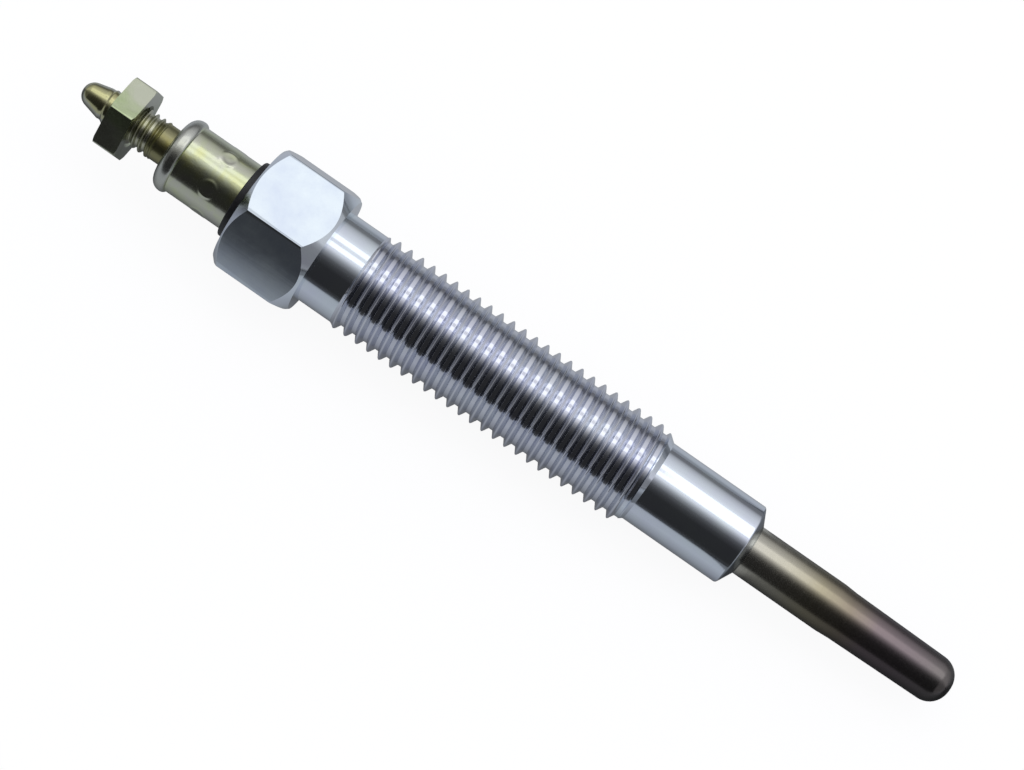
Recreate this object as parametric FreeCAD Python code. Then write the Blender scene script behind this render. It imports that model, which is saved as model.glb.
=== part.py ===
"""Diesel glow plug with a sheathed heater, M10 body thread and M4 terminal.

The plug's axis is +X, from the terminal to the heater's tip. The origin is on the axis at the front
end of the pilot's cylinder, where the sealing cone begins. A flat of the hexagon faces down, so the
plug lies level as it would be drawn. All lengths are in millimetres.
"""
import os
import FreeCAD, Part
from math import cos, radians, sin, sqrt, tan

# Housing: one steel piece with hexagon, shank, thread, pilot and sealing cone
hex_across_flats = 12.0
hex_length = 8.2
hex_face_diameter = 11.6
hex_rear_chamfer_angle = 43.0
hex_front_chamfer_angle = 53.0
shank_diameter = 9.25
shank_length = 3.75
thread_diameter = 10.0
thread_length = 31.7
thread_rear_chamfer_angle = 30.0
thread_front_chamfer_angle = 45.0
pilot_diameter = 8.2
pilot_length = 10.1
seat_half_angle = 68.0
seat_edge_radius = 0.25
seat_rim_width = 0.1

# Bores of the housing
counterbore_diameter = 6.2
counterbore_chamfer = 0.3
rod_bore_diameter = 5.4

# Sheath: closed steel tube, swaged thinner towards the tip and pressed into the housing
sheath_diameter = 4.98
sheath_grip = 16.0
sheath_reach = 22.85
sheath_wall = 0.5
sheath_swage_start = 9.9
sheath_swage_length = 1.3
sheath_swage_depth = 0.09
sheath_tip_diameter = 4.42
sheath_nose_radius = 2.0
cavity_end_wall = 0.9
cavity_cone_length = 1.5
cavity_cone_end_diameter = 0.6

# Heating coil and control coil, end to end inside the sheath
wire_diameter = 0.35
wire_sides = 6
coil_insulation = 0.4
bend_fullness = 1.2
heating_coil_pitch = 0.95
heating_coil_turns = 7
control_coil_pitch = 1.1
control_coil_turns = 9
coil_end_gap = 2.0
coil_grip_turns = 2
coil_grip_clearance = 0.02

# Centre rod with the terminal stud
stud_diameter = 4.0
stud_projection = 3.65
stud_point_diameter = 1.92
stud_point_rounding = 1.15
stud_cone_diameter = 3.38
stud_cone_length = 2.95
stud_lead_length = 0.6
rod_diameter = 3.6
rod_shoulder_gap = 1.0
rod_shoulder_chamfer = 0.4
rod_inner_diameter = 2.6
rod_inner_overlap = 0.3
seal_length = 2.0

# Insulating bush and O-ring at the mouth of the housing
flange_diameter = 7.9
flange_thickness = 0.9
flange_edge_chamfer = 0.1
spigot_length = 3.2
bush_clearance = 0.05

# Round nut: a turned collar with a bead, staked to the stud by six punch marks
collar_diameter = 6.85
collar_length = 7.65
bead_diameter = 7.45
bead_length = 1.6
bead_mouth_rounding = 1.0
bead_neck_rounding = 0.5
collar_bore_chamfer = 0.35
punch_count = 6
punch_mouth_diameter = 1.6
punch_tip_diameter = 0.8
punch_depth = 0.3
punch_station = 2.55
punch_angle = 46.0

# Terminal nut
nut_across_flats = 7.0
nut_thickness = 2.4
nut_stand_off = 3.7
nut_chamfer_angle = 30.0
nut_face_diameter = 7.6
nut_bore_chamfer = 0.25
nut_turn = 6.0

# Places along the axis, counted back from the front end of the pilot
pilot_rear = -pilot_length
thread_rear = pilot_rear - thread_length
hex_front = thread_rear - shank_length
hex_rear = hex_front - hex_length
collar_front = hex_rear - flange_thickness
collar_rear = collar_front - collar_length
nut_front = collar_rear - nut_stand_off
nut_rear = nut_front - nut_thickness
stud_end = nut_rear - stud_projection

# Radii that several pieces share
hex_corner_radius = hex_across_flats / sqrt(3)
thread_radius = thread_diameter / 2
shank_radius = shank_diameter / 2
pilot_radius = pilot_diameter / 2
sheath_radius = sheath_diameter / 2
sheath_swaged_radius = sheath_radius - sheath_swage_depth
sheath_tip_radius = sheath_tip_diameter / 2
sheath_bore_radius = sheath_radius - sheath_wall
counterbore_radius = counterbore_diameter / 2
rod_bore_radius = rod_bore_diameter / 2
stud_radius = stud_diameter / 2
rod_radius = rod_diameter / 2
rod_inner_radius = rod_inner_diameter / 2
wire_radius = wire_diameter / 2
coil_radius = sheath_tip_radius - sheath_wall - coil_insulation - wire_radius
ring_section = counterbore_radius - rod_radius

# Places inside the plug
seat_rim_radius = sheath_radius + seat_rim_width
seat_edge_setback = seat_edge_radius * tan(radians(seat_half_angle / 2))
seat_front = seat_edge_setback + (pilot_radius - seat_rim_radius) / tan(radians(seat_half_angle))
spigot_front = hex_rear + spigot_length
counterbore_floor = spigot_front + ring_section
sheath_rear = -sheath_grip
seal_front = sheath_rear + seal_length
sheath_swage_end = sheath_swage_start + sheath_swage_length
cavity_front = sheath_reach - cavity_end_wall
cavity_cone_rear = cavity_front - cavity_cone_length
heating_coil_front = cavity_front - coil_end_gap
heating_coil_rear = heating_coil_front - heating_coil_pitch * heating_coil_turns
control_coil_rear = heating_coil_rear - control_coil_pitch * control_coil_turns
rod_tip = control_coil_rear + control_coil_pitch * coil_grip_turns
rod_tip_shoulder = control_coil_rear - wire_radius - rod_inner_overlap
rod_tip_radius = coil_radius - wire_radius - coil_grip_clearance

# A rounding never takes more than this share of the shorter edge at its corner
largest_rounding_share = 0.98

# The bead's two roundings lie on one edge, so each has a smaller share of it
mouth_rounding_share = 0.64
neck_rounding_share = 0.32

AXIS_POINT = FreeCAD.Vector(0, 0, 0)
AXIS = FreeCAD.Vector(1, 0, 0)


def at(x, r):
    """The point at station x and distance r from the axis, in the plane that outlines are drawn in."""
    return FreeCAD.Vector(x, 0, r)


def rounded_corner(before, corner, after, radius):
    """The two tangent points of an arc in a corner, and the arc's middle point."""
    back = before - corner
    ahead = after - corner
    half_angle = back.getAngle(ahead) / 2
    setback = min(radius / tan(half_angle), largest_rounding_share * min(back.Length, ahead.Length))
    radius = setback * tan(half_angle)
    back.normalize()
    ahead.normalize()
    middle = corner + (back + ahead).normalize() * (radius / sin(half_angle) - radius)
    return corner + back * setback, middle, corner + ahead * setback


def turned(outline):
    """A solid of revolution from its outline: corners (x, r), or (x, r, radius) for a rounded one."""
    corners = [at(corner[0], corner[1]) for corner in outline]
    ends = []
    edges = []
    for i, corner in enumerate(outline):
        if len(corner) == 2:
            ends.append((corners[i], corners[i]))
            continue
        following = corners[(i + 1) % len(corners)]
        start, middle, stop = rounded_corner(corners[i - 1], corners[i], following, corner[2])
        edges.append(Part.Arc(start, middle, stop).toShape())
        ends.append((start, stop))
    for i, end in enumerate(ends):
        following = ends[(i + 1) % len(ends)]
        if (following[0] - end[1]).Length > 1e-6:
            edges.append(Part.makeLine(end[1], following[0]))
    face = Part.Face(Part.Wire(Part.__sortEdges__(edges)))
    return face.revolve(AXIS_POINT, AXIS, 360)


def hexagon(rear, front, across_flats, turn):
    """A hexagonal bar between two stations, with a flat facing down when turn is 0."""
    corner_radius = across_flats / sqrt(3)
    corners = []
    for i in range(6):
        angle = radians(60 * i + turn)
        corners.append(FreeCAD.Vector(rear, -corner_radius * cos(angle), corner_radius * sin(angle)))
    face = Part.Face(Part.makePolygon(corners + corners[:1]))
    return face.extrude(AXIS * (front - rear))


def chamfer_envelope(rear, front, corner_radius, face_radius, rear_angle, front_angle):
    """The turned shape that bevels a hexagon's corners at both of its end faces."""
    margin = 0.5
    outer = corner_radius + margin
    rear_depth = (outer - face_radius) * tan(radians(rear_angle))
    front_depth = (outer - face_radius) * tan(radians(front_angle))
    return turned([
        (rear, 0), (rear, face_radius), (rear + rear_depth, outer),
        (front - front_depth, outer), (front, face_radius), (front, 0),
    ])


def bore(rear, front, radius, rear_chamfer, front_chamfer):
    """What a drill and two countersinks take away between two faces."""
    return turned([
        (rear, 0), (rear, radius + rear_chamfer), (rear + rear_chamfer, radius),
        (front - front_chamfer, radius), (front, radius + front_chamfer), (front, 0),
    ])


def make_housing():
    """Hexagon, shank, thread zone, pilot and cone, with the stepped bore through all of them."""
    hexagonal_bar = hexagon(hex_rear, hex_front, hex_across_flats, 0)
    bevels = chamfer_envelope(hex_rear, hex_front, hex_corner_radius, hex_face_diameter / 2,
                              hex_rear_chamfer_angle, hex_front_chamfer_angle)
    head = hexagonal_bar.common(bevels)

    rear_depth = (thread_radius - shank_radius) * tan(radians(thread_rear_chamfer_angle))
    front_depth = (thread_radius - pilot_radius) * tan(radians(thread_front_chamfer_angle))
    barrel = turned([
        (hex_front - hex_length / 2, 0), (hex_front - hex_length / 2, shank_radius),
        (thread_rear, shank_radius), (thread_rear + rear_depth, thread_radius),
        (pilot_rear - front_depth, thread_radius), (pilot_rear, pilot_radius),
        (seat_edge_setback, pilot_radius, seat_edge_radius),
        (seat_front, seat_rim_radius), (seat_front, 0),
    ])

    counterbore = turned([
        (hex_rear, 0), (hex_rear, counterbore_radius + counterbore_chamfer),
        (hex_rear + counterbore_chamfer, counterbore_radius),
        (counterbore_floor, counterbore_radius), (counterbore_floor, rod_bore_radius),
        (sheath_rear, rod_bore_radius), (sheath_rear, sheath_radius),
        (seat_front, sheath_radius), (seat_front, 0),
    ])
    return head.fuse(barrel).cut(counterbore).removeSplitter()


def cavity_outline(rear):
    """Half outline of the sheath's inside, one wall in from its surface, with a cone at its end."""
    taper = (sheath_tip_radius - sheath_swaged_radius) / (sheath_reach - sheath_swage_end)
    cone_radius = sheath_swaged_radius + taper * (cavity_cone_rear - sheath_swage_end)
    return [
        (rear, 0), (rear, sheath_bore_radius), (sheath_swage_start, sheath_bore_radius),
        (sheath_swage_end, sheath_swaged_radius - sheath_wall),
        (cavity_cone_rear, cone_radius - sheath_wall),
        (cavity_front, cavity_cone_end_diameter / 2), (cavity_front, 0),
    ]


def make_sheath_tube():
    """The heater's tube, open at the rear and closed by its welded nose."""
    outside = turned([
        (sheath_rear, 0), (sheath_rear, sheath_radius), (sheath_swage_start, sheath_radius),
        (sheath_swage_end, sheath_swaged_radius),
        (sheath_reach, sheath_tip_radius, sheath_nose_radius),
        (sheath_reach, 0),
    ])
    return outside.cut(turned(cavity_outline(sheath_rear)))


def wound_wire(rear, pitch, turns):
    """A wire wound right-handed about the axis, its ends cut in one plane through the axis.

    The round wire is drawn with a few flat sides, one of which faces the axis.
    """
    helix = Part.makeHelix(pitch, pitch * turns, coil_radius)
    corners = []
    for i in range(wire_sides):
        angle = radians(360 * (i + 0.5) / wire_sides)
        across = wire_radius / cos(radians(180 / wire_sides))
        corners.append(FreeCAD.Vector(coil_radius + across * cos(angle), 0, across * sin(angle)))
    section = Part.makePolygon(corners + corners[:1])
    coil = Part.Wire(helix.Edges).makePipeShell([section], True, True)
    coil.rotate(AXIS_POINT, FreeCAD.Vector(0, 1, 0), 90)
    coil.translate(AXIS * rear)
    return coil


def make_heating_coil():
    """The thin coil that glows, with its straight lead welded to the sheath's closed end."""
    coil = wound_wire(heating_coil_rear, heating_coil_pitch, heating_coil_turns)
    start = at(heating_coil_front, -coil_radius)
    bend = Part.makeSphere(wire_radius * bend_fullness, start)
    lead = Part.makeCylinder(wire_radius, coil_end_gap, start, AXIS)
    return coil.fuse([bend, lead.common(turned(cavity_outline(sheath_rear)))])


def make_control_coil():
    """The coil that limits the current, from the heating coil back to the centre rod."""
    return wound_wire(control_coil_rear, control_coil_pitch, control_coil_turns)


def make_magnesia_fill(coils):
    """Packed insulating powder: all of the sheath's inside that the coils, rod and seal leave."""
    outline = cavity_outline(seal_front)
    around_rod = [
        (rod_tip, 0), (rod_tip, rod_tip_radius), (rod_tip_shoulder, rod_tip_radius),
        (rod_tip_shoulder, rod_inner_radius), (seal_front, rod_inner_radius),
    ]
    return turned(outline[1:] + around_rod).cut(coils)


def make_centre_rod():
    """The rod that carries the current: terminal stud with its ball nose, body and slim inner end."""
    return turned([
        (stud_end, 0), (stud_end, stud_point_diameter / 2, stud_point_rounding),
        (stud_end + stud_cone_length, stud_cone_diameter / 2),
        (stud_end + stud_cone_length + stud_lead_length, stud_radius),
        (collar_front, stud_radius), (collar_front, rod_radius),
        (sheath_rear - rod_shoulder_gap - rod_shoulder_chamfer, rod_radius),
        (sheath_rear - rod_shoulder_gap, rod_radius - rod_shoulder_chamfer),
        (sheath_rear - rod_shoulder_gap, rod_inner_radius),
        (rod_tip_shoulder, rod_inner_radius), (rod_tip_shoulder, rod_tip_radius),
        (rod_tip, rod_tip_radius), (rod_tip, 0),
    ])


def make_sheath_seal():
    """The rubber ring that keeps the powder in and damp out at the sheath's open end."""
    return turned([
        (sheath_rear, rod_inner_radius), (sheath_rear, sheath_bore_radius),
        (seal_front, sheath_bore_radius), (seal_front, rod_inner_radius),
    ])


def make_o_ring():
    """The ring between rod and counterbore, under the bush."""
    centre = AXIS * (spigot_front + ring_section / 2)
    return Part.makeTorus(rod_radius + ring_section / 2, ring_section / 2, centre, AXIS)


def make_insulating_bush():
    """Flange between collar and hexagon, with a spigot that centres the rod in the counterbore."""
    bush_bore = rod_radius + bush_clearance
    flange_radius = flange_diameter / 2
    return turned([
        (collar_front, bush_bore), (collar_front, flange_radius - flange_edge_chamfer),
        (collar_front + flange_edge_chamfer, flange_radius),
        (hex_rear - flange_edge_chamfer, flange_radius), (hex_rear, flange_radius - flange_edge_chamfer),
        (hex_rear, counterbore_radius - bush_clearance),
        (spigot_front, counterbore_radius - bush_clearance), (spigot_front, bush_bore),
    ])


def make_round_nut():
    """The collar on the stud: a beaded rim, a plain barrel and a ring of punch marks."""
    collar_radius = collar_diameter / 2
    bead_radius = bead_diameter / 2
    mouth_rounding = min(bead_mouth_rounding, bead_length * mouth_rounding_share)
    neck_rounding = min(bead_neck_rounding, bead_length * neck_rounding_share)
    bead = turned([
        (collar_rear, 0), (collar_rear, bead_radius, mouth_rounding),
        (collar_rear + bead_length, bead_radius, neck_rounding), (collar_rear + bead_length, 0),
    ])
    barrel = turned([
        (collar_rear + bead_length / 2, 0), (collar_rear + bead_length / 2, collar_radius),
        (collar_front, collar_radius), (collar_front, 0),
    ])
    threaded_hole = bore(collar_rear, collar_front, stud_radius, collar_bore_chamfer, 0.0)
    collar = bead.fuse(barrel).cut(threaded_hole)
    # The punch is a blunt cone, twice as long as its mark is deep
    tip_radius = punch_tip_diameter / 2
    widening = punch_mouth_diameter / 2 - tip_radius
    punches = []
    for i in range(punch_count):
        angle = radians(punch_angle + 360 * i / punch_count)
        outwards = FreeCAD.Vector(0, -cos(angle), sin(angle))
        tip = AXIS * (collar_front - punch_station) + outwards * (collar_radius - punch_depth)
        punches.append(Part.makeCone(tip_radius, tip_radius + 2 * widening, 2 * punch_depth, tip, outwards))
    return collar.cut(punches)


def make_terminal_nut():
    """Hexagon nut with both faces bevelled and both mouths of its bore countersunk."""
    nut_corner_radius = nut_across_flats / sqrt(3)
    bar = hexagon(nut_rear, nut_front, nut_across_flats, nut_turn)
    bevels = chamfer_envelope(nut_rear, nut_front, nut_corner_radius, nut_face_diameter / 2,
                              nut_chamfer_angle, nut_chamfer_angle)
    return bar.common(bevels).cut(bore(nut_rear, nut_front, stud_radius, nut_bore_chamfer, nut_bore_chamfer))


def main():
    """Make every piece, check that it is one sound solid and write it to its own file."""
    heating_coil = make_heating_coil()
    control_coil = make_control_coil()
    pieces = {
        "housing": make_housing(),
        "sheath_tube": make_sheath_tube(),
        "magnesia_fill": make_magnesia_fill([heating_coil, control_coil]),
        "heating_coil": heating_coil,
        "control_coil": control_coil,
        "centre_rod": make_centre_rod(),
        "sheath_seal": make_sheath_seal(),
        "o_ring": make_o_ring(),
        "insulating_bush": make_insulating_bush(),
        "round_nut": make_round_nut(),
        "terminal_nut": make_terminal_nut(),
    }
    os.makedirs("parts", exist_ok=True)
    for name, shape in pieces.items():
        if len(shape.Solids) != 1 or not shape.isValid():
            raise ValueError(f"{name} is not one sound solid: {len(shape.Solids)} solids")
        solid = shape.Solids[0]
        solid.exportStep(f"parts/{name}.step")
        print(f"{name}: {solid.Volume:.2f} mm3, {len(solid.Faces)} faces")


main()
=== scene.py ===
from math import asin, atan2, cos, degrees, hypot, pi, radians, sin, sqrt, tan

import bmesh
import bpy
from mathutils import Matrix, Vector


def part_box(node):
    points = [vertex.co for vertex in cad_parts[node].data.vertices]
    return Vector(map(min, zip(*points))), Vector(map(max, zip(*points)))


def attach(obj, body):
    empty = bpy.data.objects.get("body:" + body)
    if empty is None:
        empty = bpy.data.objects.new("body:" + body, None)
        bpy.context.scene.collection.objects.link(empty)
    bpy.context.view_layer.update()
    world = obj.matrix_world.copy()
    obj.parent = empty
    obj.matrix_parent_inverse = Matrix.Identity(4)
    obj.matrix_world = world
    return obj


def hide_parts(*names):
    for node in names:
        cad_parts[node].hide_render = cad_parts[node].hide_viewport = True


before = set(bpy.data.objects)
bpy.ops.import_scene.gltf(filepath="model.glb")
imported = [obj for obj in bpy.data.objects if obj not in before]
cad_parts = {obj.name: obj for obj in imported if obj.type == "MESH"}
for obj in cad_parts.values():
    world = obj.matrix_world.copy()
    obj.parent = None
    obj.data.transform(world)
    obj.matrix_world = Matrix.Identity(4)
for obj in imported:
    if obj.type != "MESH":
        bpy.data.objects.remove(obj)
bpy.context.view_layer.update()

# Lengths are in millimetres, along the plug's axis from the front end of the pilot, as in the CAD source.
# Pieces are modelled at a thousand times their size and brought down to metres when they are finished.
MM = 0.001

# Sides that stand for a full circle, and the angle up to which an edge between faces is shaded smooth
ROUND = 120
STUD_ROUND = 72
SHEATH_ROUND = 96
COLLAR_ROUND = 288
NUT_BORE_ROUND = 96
ENVELOPE_ROUND = 180
SMOOTH_ANGLE = 28.0

# Points closer than the first are merged, and points nearer to a surface than the second lie on it
MERGE_DISTANCE = 0.0004
TOLERANCE = 0.001

# How far a tool shape reaches past the piece that it cuts or joins
OVERSHOOT = 1.0
ENVELOPE_SPARE = 0.5

# Housing
HEX_FLATS = 12.0
HEX_REAR = -53.75
HEX_FRONT = -45.55
HEX_FACE_RADIUS = 5.8
HEX_REAR_CHAMFER = 43.0
HEX_FRONT_CHAMFER = 53.0
HEX_EDGE = 0.1
SHANK_RADIUS = 4.62
THREAD_REAR = -41.8
PILOT_REAR = -10.1
PILOT_RADIUS = 4.1
SEAT_FRONT = 0.778
SEAT_EDGE = 0.25
SEAT_RIM_RADIUS = 2.59
COUNTERBORE_RADIUS = 3.1
COUNTERBORE_CHAMFER = 0.3
COUNTERBORE_FLOOR = -49.25
ROD_BORE_RADIUS = 2.7

# Both threads: flanks 60 degrees from the axis, and crests that rolling leaves as low rounded ridges, with
# the ridge angle at their tops. The grooves mark the slope onto the thread by this share of their depth.
FLANK_ANGLE = 60.0
RIDGE_ANGLE = 22.0
SLOPE_GROOVES = 0.3

# M10 thread. The phase puts its crests where the photo has them. A fade is the length over which grooves
# come to their full depth, and a slope is how fast the radius grows along the axis. The turned ring in
# front of the thread is as bright as the pilot.
BODY_PITCH = 1.25
BODY_CREST = 4.94
BODY_CREST_ROUNDING = 0.26
BODY_ROOT_FLAT = 0.4
BODY_ROOT_ROUNDING = 0.08
BODY_THREAD_PHASE = -1.12
BODY_REAR_FADE = 0.5
BODY_REAR_SLOPE = 0.7
BODY_FRONT_SLOPE = 0.8
BRIGHT_RING = 0.8

# Heater tube
SHEATH_REAR = -16.0
SHEATH_RADIUS = 2.49
SHEATH_BORE_RADIUS = 1.99
SWAGE_START = 9.9
SWAGE_END = 11.2
SWAGED_RADIUS = 2.4
SWAGE_ROUNDING = 2.0
TIP_RADIUS = 2.21
NOSE_RADIUS = 1.98
SHEATH_REACH = 22.85
CAVITY_FRONT = 21.95
CAVITY_CONE_REAR = 20.45
CAVITY_END_RADIUS = 0.3

# Centre rod and its stud
STUD_END = -72.05
STUD_POINT_RADIUS = 0.96
STUD_POINT_ROUNDING = 1.15
STUD_CONE_SLOPE = 0.2475
STUD_CREST = 1.96
STUD_CREST_ROUNDING = 0.18
STUD_ROOT_FLAT = 0.26
STUD_ROOT_ROUNDING = 0.1
STUD_PITCH = 0.7
STUD_THREAD_REAR = -69.9
STUD_THREAD_FRONT = -63.6
STUD_REAR_FADE = 0.5
STUD_FRONT_FADE = 0.7
STUD_FRONT_SLOPE = 0.8
STUD_NECK_RADIUS = 1.86
ROD_RADIUS = 1.8
ROD_INNER_RADIUS = 1.3
ROD_SHOULDER = -17.0
ROD_SHOULDER_CHAMFER = 0.4

# Insulating bush, round nut and terminal nut. The bead's thinner film stops a little before its front end.
COLLAR_FRONT = -54.65
COLLAR_REAR = -62.3
FLANGE_RADIUS = 3.95
FLANGE_EDGE = 0.15
SPIGOT_RADIUS = 3.05
SPIGOT_FRONT = -50.55
BUSH_BORE_RADIUS = 1.85
COLLAR_RADIUS = 3.425
COLLAR_EDGE = 0.06
COLLAR_BORE_RADIUS = 2.0
COLLAR_COUNTERSINK = 0.35
BEAD_RADIUS = 3.725
BEAD_LENGTH = 1.6
BEAD_MOUTH_ROUNDING = 1.0
BEAD_NECK_ROUNDING = 0.5
BEAD_FILM_MARGIN = 0.15
PUNCH_X = COLLAR_FRONT - 2.55
PUNCH_ANGLE = 46.0
PUNCH_COUNT = 6
PUNCH_TIP_RADIUS = 0.2
PUNCH_MOUTH_RADIUS = 0.72
PUNCH_DEPTH = 0.05
PUNCH_LIP = 0.03
PUNCH_LIP_WIDTH = 0.32
NUT_FLATS = 7.0
NUT_REAR = -68.4
NUT_FRONT = -66.0
NUT_FACE_RADIUS = 3.8
NUT_CHAMFER = 30.0
NUT_EDGE = 0.1
NUT_TURN = 6.0
NUT_BORE_RADIUS = 2.0
NUT_COUNTERSINK = 0.25

# The camera's place: it looks down on the plug from its front side, close enough for strong perspective
CAMERA_DISTANCE = 215.0
CAMERA_AIM_X = -25.08
CAMERA_AIM_UP = 0.07
CAMERA_ELEVATION = 65.0
CAMERA_TURN = 0.3
CAMERA_ROLL = 34.81
PIXELS_PER_MM = 11.096
PICTURE_WIDTH = 1024
SENSOR = 36.0

# The plug rests on its hexagon's front edge and on the thread's front end, so the floor leans by this much
FLOOR_EDGE_X = -46.6
FLOOR_EDGE_DROP = 6.0
FLOOR_THREAD_X = -11.0
FLOOR_THREAD_DROP = 5.0

# The floor glows by the white share, and the rest is paper, which takes the plug's shadow. The glow is a
# little over 1, so that both together come out white.
FLOOR_SPAN = (-4000.0, 4000.0)
FLOOR_WHITE_SHARE = 0.88
FLOOR_WHITE = 1.04

# Two long lamps overhead, as elevations in degrees, with a gap between them that is open over one span,
# dimly lit behind it and fully lit in front of it
LAMP_DISTANCE = 700.0
LAMP_RADIANCE = 0.55
LAMP_SPAN = (-1000.0, 1000.0)
FRONT_LAMP_ANGLES = (90.5, 101.5)
BACK_LAMP_ANGLES = (110.5, 123.0)
GAP_SPAN = (-150.0, 41.0)
GAP_REAR_SHARE = 0.6

# The room, as elevation in degrees round the plug's axis from the camera's side up and over, and brightness.
# A ramp's colour can't pass 1, so it holds a share of the top glow.
ROOM_RADIUS = 800.0
ROOM_LENGTH = 2400.0
ROOM_ENDS = (-850.0, 700.0)
END_WALL_SIZE = 2400.0
GLOW_TOP = 1.25
ROOM_LIGHT = [
    (0, 0.05), (6, 0.026), (45, 0.028), (56, 0.053), (65, 0.11), (74, 0.31), (80, 0.56), (86, 0.9),
    (90, 0.95), (127, 0.95), (133, 0.84), (143, 0.75), (156, 0.56), (163, 0.4), (168, 0.2), (180, 0.18),
]
REAR_WALL_LIGHT = [
    (0, 0.2), (15, 0.11), (50, 0.12), (65, 0.2), (82, 0.42), (90, 0.7), (124, 0.7), (140, 0.52), (165, 0.4),
    (180, 0.32),
]
FRONT_WALL_LIGHT = [
    (0, 0.36), (15, 0.24), (50, 0.24), (65, 0.26), (82, 0.4), (90, 0.7), (124, 0.7), (140, 0.6), (165, 0.5),
    (180, 0.4),
]

# The table, as distance across in millimetres, the camera's side negative, and brightness, with a painted
# pool of light round the plug and the plug's shadow painted as the dip just under it
TABLE_SPAN = (-120.0, 60.0)
TABLE_LIGHT_AND_SHADOW = [
    (-120, 0.06), (-105, 0.062), (-92, 0.105), (-82, 0.2), (-73, 0.29), (-65, 0.36), (-58, 0.41),
    (-45, 0.45), (-25, 0.47), (-14, 0.48), (-10, 0.42), (-7, 0.34), (-4.5, 0.2), (-2, 0.1), (2, 0.12),
    (6, 0.32), (15, 0.5), (26, 0.48), (45, 0.34), (60, 0.3),
]
TABLE_TOP_SPAN = (-1100.0, 1100.0)
TABLE_TOP_LIFT = 0.03
ROOM_TINT = (1.0, 1.0, 1.04)
TABLE_TINT = (0.98, 1.02, 1.1)

# The light sheet on the table ends at the heater, along slanting soft edges. Past them the table keeps the
# end share of its brightness, and further off the far share.
TABLE_EDGE_X = 1.4
TABLE_EDGE_SOFTNESS = 0.6
TABLE_EDGE_SLANT = 0.128
TABLE_END_SHARE = 0.38
TABLE_FAR_X = (30.0, 80.0)
TABLE_FAR_SHARE = 0.85

# The painted yellow sheen on the yellow zinc is strongest towards this elevation, in degrees from the
# camera's side up, close to the camera's own
YELLOW_SHEEN_SIDE = 70.0


# Modelling

def begin(name):
    """A new piece with one vertex at the origin, selected in edit mode, to draw an outline from."""
    bpy.ops.object.select_all(action="DESELECT")
    bpy.ops.mesh.primitive_plane_add(size=1.0)
    piece = bpy.context.object
    piece.name = name
    bpy.ops.object.mode_set(mode="EDIT")
    bpy.ops.mesh.select_mode(type="VERT")
    bpy.ops.mesh.select_all(action="SELECT")
    bpy.ops.mesh.merge(type="CENTER")
    return piece


def drawn(name, outline):
    """A piece, still in edit mode, that is a line drawn through the outline's (x, radius) points."""
    piece = begin(name)
    x, r = outline[0]
    bpy.ops.transform.translate(value=(x, 0, r))
    for next_x, next_r in outline[1:]:
        step = {"value": (next_x - x, 0, next_r - r)}
        bpy.ops.mesh.extrude_region_move(TRANSFORM_OT_translate=step)
        x, r = next_x, next_r
    return piece


def closed(piece):
    """Leaves edit mode with the seam and the poles closed and every face pointing outwards."""
    bpy.ops.mesh.select_all(action="SELECT")
    bpy.ops.mesh.remove_doubles(threshold=MERGE_DISTANCE)
    bpy.ops.mesh.normals_make_consistent(inside=False)
    bpy.ops.object.mode_set(mode="OBJECT")
    return piece


def spun(name, outline, segments=ROUND):
    """A turned piece: its outline spun about the plug's axis."""
    piece = drawn(name, outline)
    bpy.ops.mesh.select_all(action="SELECT")
    bpy.ops.mesh.spin(steps=segments, angle=2 * pi, center=(0, 0, 0), axis=(1, 0, 0))
    return closed(piece)


def rounded(outline, steps=3):
    """Outline points for corners (x, r) and for rounded corners (x, r, radius)."""
    points = []
    for i, corner in enumerate(outline):
        here = Vector(corner[:2])
        if len(corner) == 2:
            points.append(corner)
            continue
        back = (Vector(outline[i - 1][:2]) - here).normalized()
        ahead = (Vector(outline[(i + 1) % len(outline)][:2]) - here).normalized()
        half = back.angle(ahead) / 2
        centre = here + (back + ahead).normalized() * (corner[2] / sin(half))
        start = here + back * (corner[2] / tan(half)) - centre
        stop = here + ahead * (corner[2] / tan(half)) - centre
        for k in range(steps + 1):
            spoke = start.slerp(stop, k / steps).normalized() * corner[2]
            points.append(tuple(centre + spoke))
    return points


def combined(piece, tool, operation):
    """Cuts, joins or intersects a piece with another, which is used up."""
    bpy.ops.object.select_all(action="DESELECT")
    bpy.context.view_layer.objects.active = piece
    piece.select_set(True)
    change = piece.modifiers.new("shape", "BOOLEAN")
    change.operation = operation
    change.solver = "EXACT"
    change.object = tool
    bpy.ops.object.modifier_apply(modifier=change.name)
    bpy.data.objects.remove(tool)
    return piece


def edit(piece):
    """Makes the piece active in edit mode with nothing selected, and gives its mesh to select in."""
    bpy.ops.object.select_all(action="DESELECT")
    bpy.context.view_layer.objects.active = piece
    piece.select_set(True)
    bpy.ops.object.mode_set(mode="EDIT")
    bpy.ops.mesh.select_all(action="DESELECT")
    return bmesh.from_edit_mesh(piece.data)


def hexagonal_bar(name, rear, front, flats, turn, edge):
    """A length of hexagon bar, a flat facing down when turn is 0, its long edges slightly rounded."""
    bpy.ops.object.select_all(action="DESELECT")
    bpy.ops.mesh.primitive_cylinder_add(
        vertices=6, radius=flats / sqrt(3), depth=front - rear,
        location=((rear + front) / 2, 0, 0), rotation=(0, pi / 2, 0))
    piece = bpy.context.object
    piece.name = name
    bpy.ops.object.transform_apply(location=True, rotation=True, scale=True)
    piece.rotation_euler = (-radians(turn), 0, 0)
    bpy.ops.object.transform_apply(rotation=True)
    bm = edit(piece)
    bpy.ops.mesh.select_mode(type="EDGE")
    for e in bm.edges:
        e.select_set(abs(e.verts[0].co.x - e.verts[1].co.x) > (front - rear) / 2)
    bmesh.update_edit_mesh(piece.data)
    bpy.ops.mesh.bevel(offset=edge, segments=3)
    bpy.ops.object.mode_set(mode="OBJECT")
    return piece


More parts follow.
